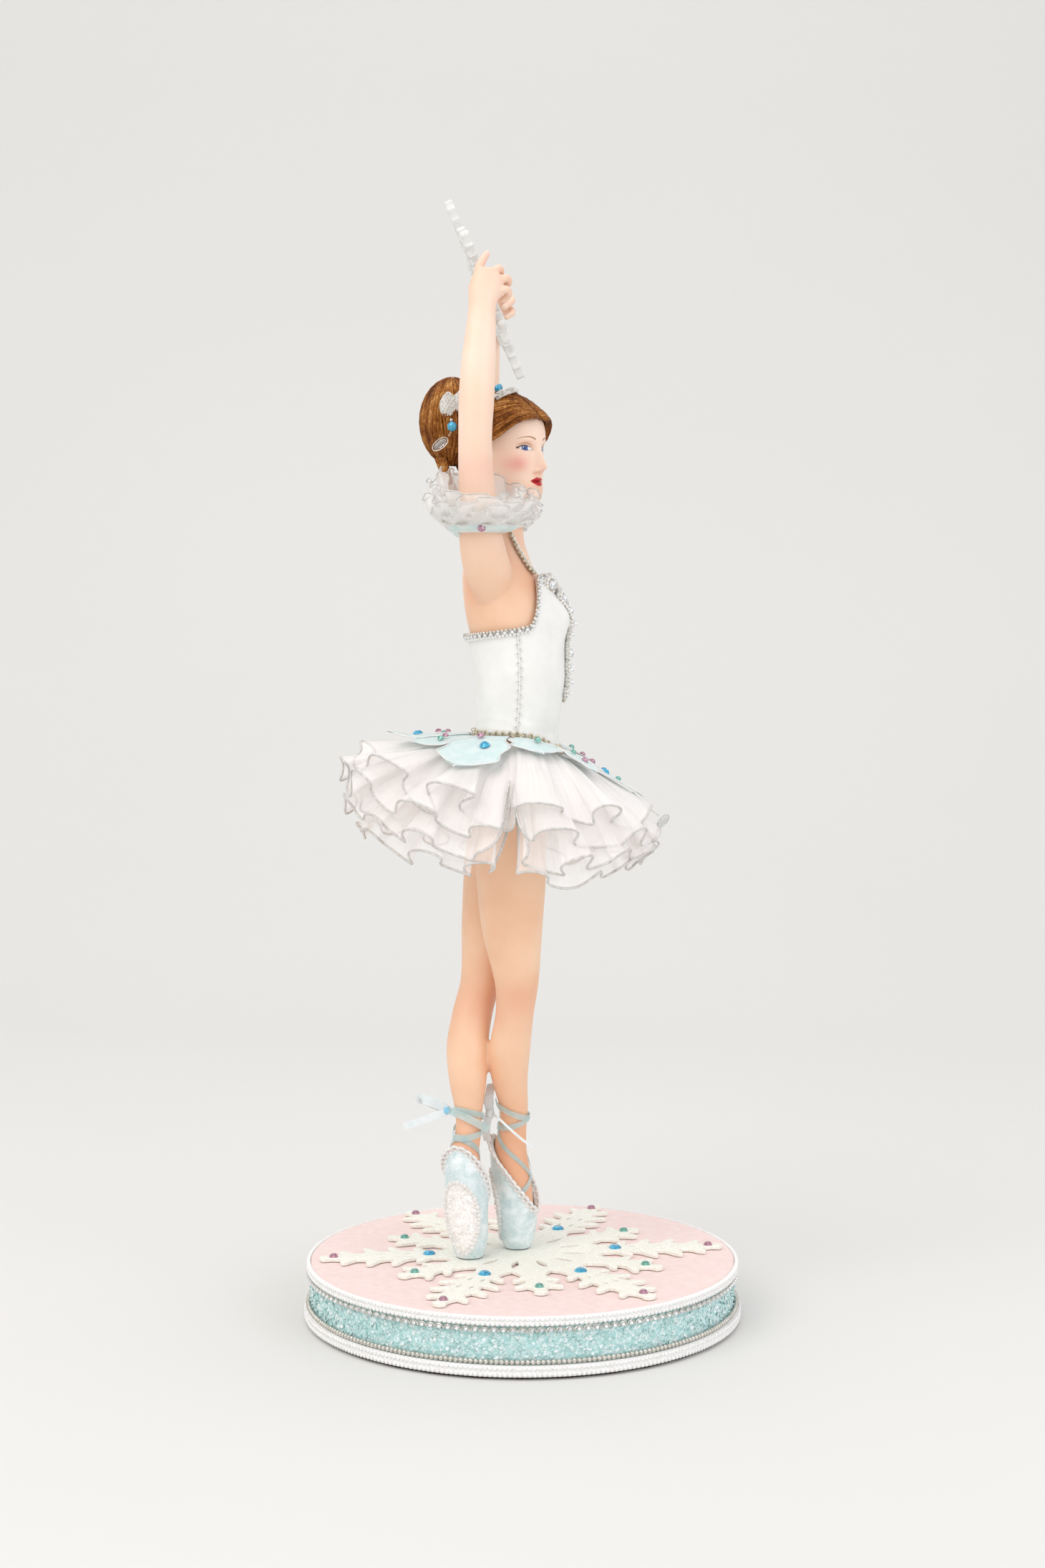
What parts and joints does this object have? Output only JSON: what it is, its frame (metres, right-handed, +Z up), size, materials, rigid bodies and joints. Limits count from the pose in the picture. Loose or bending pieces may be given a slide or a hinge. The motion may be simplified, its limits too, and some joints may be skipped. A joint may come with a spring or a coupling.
{
  "type": "ballerina figurine",
  "caption": "Ballerina figurine on pointe, arms overhead holding a snowflake, in a layered tulle tutu on a round glittered plinth.",
  "frame": {"origin": "centre of the plinth's underside, on the floor", "axes": "+Z up; she faces -Y, with her right side towards -X"},
  "size_m": [0.2, 0.2, 0.5048],
  "materials": {
    "aqua_glitter_band": "coarse glitter",
    "aqua_petals": "sheer",
    "aqua_ribbon": "sheer",
    "aqua_shoe_satin": "glittered satin",
    "blue_gem": "faceted",
    "blue_pearl": "pearl",
    "brown_hair": "combed fibre",
    "champagne_braid": "bright",
    "clear_drop": "polished",
    "clear_snowflake": "frosted",
    "cream_glitter": "fine glitter",
    "dark_felt": "matt",
    "painted_skin": "satin painted resin",
    "pink_top": "matt",
    "purple_gem": "faceted",
    "silver_ball_chain": "bright",
    "silver_beading": "bright",
    "silver_rhinestones": "faceted",
    "teal_gem": "faceted",
    "white_glitter_braid": "glittered",
    "white_leaves": "glittered",
    "white_picot": "matt",
    "white_satin": "satin",
    "white_sole_glitter": "glittered",
    "white_tulle": "sheer"
  },
  "bodies": {
    "root": {"ankle_ribbon_left": "aqua_ribbon", "ankle_ribbon_right": "aqua_ribbon", "arm_ruffle_left": "white_tulle", "arm_ruffle_right": "white_tulle", "bodice": "white_satin", "bodice_applique": "silver_beading", "earring_left": "clear_drop", "earring_right": "clear_drop", "figure": "painted_skin", "floor_gem_blue_1": "blue_gem", "floor_gem_blue_2": "blue_gem", "floor_gem_blue_3": "blue_gem", "floor_gem_blue_4": "blue_gem", "floor_gem_blue_5": "blue_gem", "floor_gem_blue_6": "blue_gem", "floor_gem_purple_1": "purple_gem", "floor_gem_purple_2": "purple_gem", "floor_gem_purple_3": "purple_gem", "floor_gem_purple_4": "purple_gem", "floor_gem_purple_5": "purple_gem", "floor_gem_purple_6": "purple_gem", "floor_gem_teal_1": "teal_gem", "floor_gem_teal_2": "teal_gem", "floor_gem_teal_3": "teal_gem", "floor_gem_teal_4": "teal_gem", "floor_gem_teal_5": "teal_gem", "floor_gem_teal_6": "teal_gem", "floor_snowflake": "cream_glitter", "garland_drop_left": "clear_drop", "garland_drop_right": "clear_drop", "garland_leaf_left": "white_leaves", "garland_leaf_right": "white_leaves", "garland_pearl_left": "blue_pearl", "garland_pearl_right": "blue_pearl", "garland_top": "white_leaves", "hair": "brown_hair", "held_snowflake": "clear_snowflake", "lower_glitter_trim": "white_glitter_braid", "lower_rhinestone_chain": "silver_ball_chain", "neck_choker": "silver_beading", "neckline_trim": "silver_beading", "plinth_drum": "aqua_glitter_band", "plinth_foot_pad": "dark_felt", "plinth_top_board": "pink_top", "pointe_shoe_left": "aqua_shoe_satin", "pointe_shoe_right": "aqua_shoe_satin", "ribbon_bow_left": "aqua_ribbon", "ribbon_bow_right": "aqua_ribbon", "seam_trim_left": "white_picot", "seam_trim_right": "white_picot", "shoe_sole_left": "white_sole_glitter", "shoe_sole_right": "white_sole_glitter", "tulle_layer_1": "white_tulle", "tulle_layer_2": "white_tulle", "tulle_layer_3": "white_tulle", "tutu_overlay": "aqua_petals", "upper_glitter_trim": "white_glitter_braid", "upper_rhinestone_chain": "silver_rhinestones", "waist_braid": "champagne_braid"}
  },
  "joints": []
}
